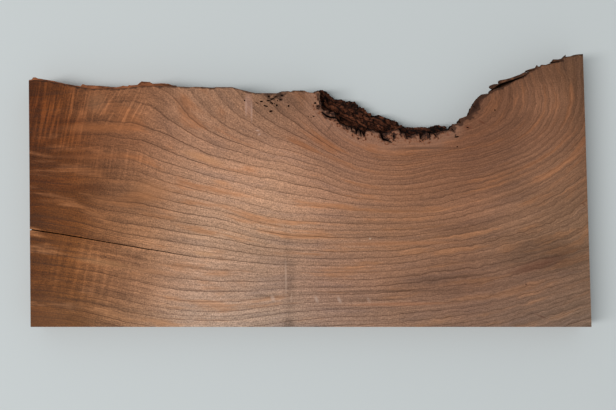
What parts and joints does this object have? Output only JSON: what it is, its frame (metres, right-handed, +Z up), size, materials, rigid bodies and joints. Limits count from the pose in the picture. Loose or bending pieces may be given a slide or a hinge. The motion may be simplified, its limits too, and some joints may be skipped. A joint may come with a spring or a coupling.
{
  "type": "live-edge walnut wood blank",
  "caption": "Rough-sawn black walnut blank with a straight front edge, sawn ends and a natural far edge with a crusted bay, worm pits and a long end check.",
  "frame": {"origin": "centre of the underside, at the middle of the bounding box", "axes": "+X along the sawn front edge towards the deeper end, +Y from the sawn front edge to the live edge, +Z up through the thickness"},
  "size_m": [0.461, 0.224, 0.0254],
  "materials": {
    "walnut": "rough-sawn, dry and unfinished"
  },
  "bodies": {
    "root": {"walnut_blank": "walnut"}
  },
  "joints": []
}
